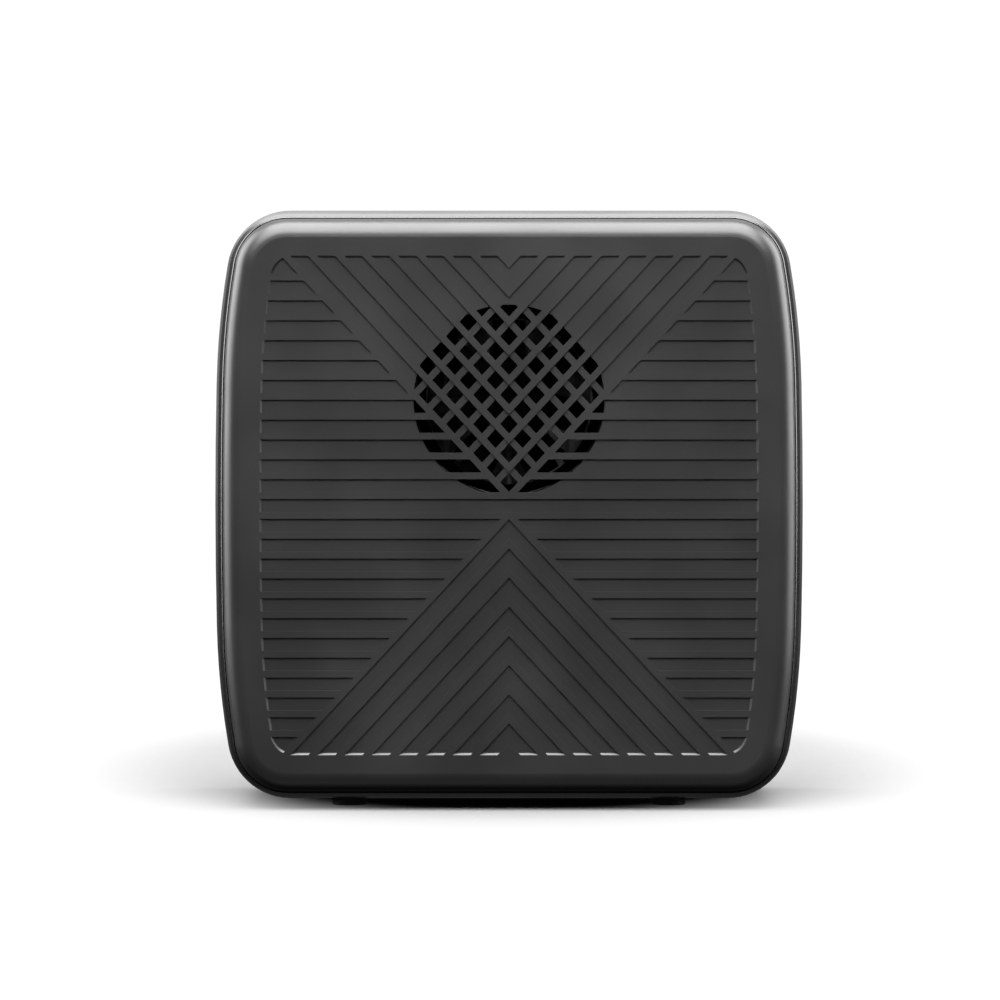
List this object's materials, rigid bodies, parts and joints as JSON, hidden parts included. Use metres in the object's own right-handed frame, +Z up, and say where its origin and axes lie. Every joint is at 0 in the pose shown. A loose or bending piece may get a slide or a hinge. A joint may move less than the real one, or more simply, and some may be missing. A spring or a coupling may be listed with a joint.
{
  "type": "mesh wifi node",
  "caption": "Upright rounded-square wireless node with a ribbed front, a round latticed fan inlet, and a recessed port bay with push buttons at the back.",
  "frame": {"origin": "centre of the footprint, on the surface the node stands on", "axes": "+Z up; the ribbed front with the fan inlet faces -Y; the ports face +Y; +X is to the right seen from the front"},
  "size_m": [0.151, 0.072, 0.1526],
  "materials": {
    "body_plastic": "satin",
    "panel_plastic": "fine texture",
    "gasket_rubber": "satin",
    "foot_rubber": "matte",
    "label_film": "satin",
    "screw_steel": "black zinc",
    "funnel_gloss": "gloss",
    "fan_plastic": "satin",
    "rotor_plastic": "semi-gloss",
    "shaft_steel": "ground",
    "magnet_ferrite": "matte",
    "bearing_bronze": "sintered",
    "core_steel": "laminated",
    "winding_copper": "enamelled wire",
    "board_laminate": "solder mask",
    "sink_aluminium": "extruded",
    "standoff_brass": "turned",
    "chip_epoxy": "moulded",
    "pad_silicone": "matte",
    "shield_tin": "tin plate",
    "capacitor_sleeve": "satin",
    "ferrite": "matte",
    "magnetics_case": "moulded",
    "jack_metal": "nickel plate",
    "jack_plastic": "moulded",
    "contact_gold": "gold flash",
    "pin_nickel": "nickel plate",
    "button_plastic": "satin",
    "switch_plastic": "moulded",
    "plunger_plastic": "moulded",
    "header_plastic": "moulded",
    "lead_sleeve": "matte",
    "lamp_epoxy": "clear",
    "light_pipe_clear": "polished"
  },
  "bodies": {
    "housing": {"front_cover": "body_plastic", "front_gasket": "gasket_rubber", "main_housing": "body_plastic", "rear_gasket": "gasket_rubber", "rear_cover": "body_plastic", "port_panel": "panel_plastic", "label_plate": "label_film", "rubber_feet": "foot_rubber", "front_cover_screws": "screw_steel", "rear_cover_screws": "screw_steel", "inlet_funnel": "funnel_gloss", "fan_frame": "fan_plastic", "fan_bearing": "bearing_bronze", "fan_stator_core": "core_steel", "fan_coils": "winding_copper", "fan_driver_board": "board_laminate", "fan_screws": "screw_steel", "fan_lead": "lead_sleeve", "fan_header": "header_plastic", "main_board": "board_laminate", "board_screws": "screw_steel", "heat_sink": "sink_aluminium", "heat_sink_standoffs": "standoff_brass", "heat_sink_screws": "screw_steel", "thermal_pads": "pad_silicone", "processor_chip": "chip_epoxy", "memory_chips": "chip_epoxy", "flash_chips": "chip_epoxy", "radio_chips": "chip_epoxy", "radio_shield_cans": "shield_tin", "capacitors": "capacitor_sleeve", "inductors": "ferrite", "network_magnetics": "magnetics_case", "wan_jack_shell": "jack_metal", "wan_jack_insert": "jack_plastic", "lan_jack_1_shell": "jack_metal", "lan_jack_1_insert": "jack_plastic", "lan_jack_2_shell": "jack_metal", "lan_jack_2_insert": "jack_plastic", "jack_contacts": "contact_gold", "power_inlet": "jack_plastic", "power_inlet_pin": "pin_nickel", "power_switch_body": "switch_plastic", "pair_switch_body": "switch_plastic", "reset_switch_body": "switch_plastic", "status_lamp": "lamp_epoxy", "light_pipe": "light_pipe_clear", "antenna_holders": "switch_plastic", "antenna_boards": "board_laminate", "antenna_leads": "lead_sleeve", "antenna_plugs": "standoff_brass"},
    "fan_wheel": {"fan_rotor": "rotor_plastic", "fan_shaft": "shaft_steel", "fan_magnet_ring": "magnet_ferrite"},
    "power_key": {"power_button": "button_plastic", "power_switch_plunger": "plunger_plastic"},
    "pair_key": {"pair_button": "button_plastic", "pair_switch_plunger": "plunger_plastic"},
    "reset_key": {"reset_plunger": "plunger_plastic"}
  },
  "joints": [
    {"name": "fan_spin", "type": "hinge", "parent": "housing", "child": "fan_wheel", "pos_m": [0, -0.0243, 0.10359], "axis": [0, 1, 0], "continuous": true},
    {"name": "power_press", "type": "slide", "parent": "housing", "child": "power_key", "axis": [0, -1, 0], "range_m": [0, 0.0005], "stiffness_N_per_m": 1000},
    {"name": "pair_press", "type": "slide", "parent": "housing", "child": "pair_key", "axis": [0, -1, 0], "range_m": [0, 0.0005], "stiffness_N_per_m": 1000},
    {"name": "reset_press", "type": "slide", "parent": "housing", "child": "reset_key", "axis": [0, -1, 0], "range_m": [0, 0.0005], "stiffness_N_per_m": 1000}
  ]
}
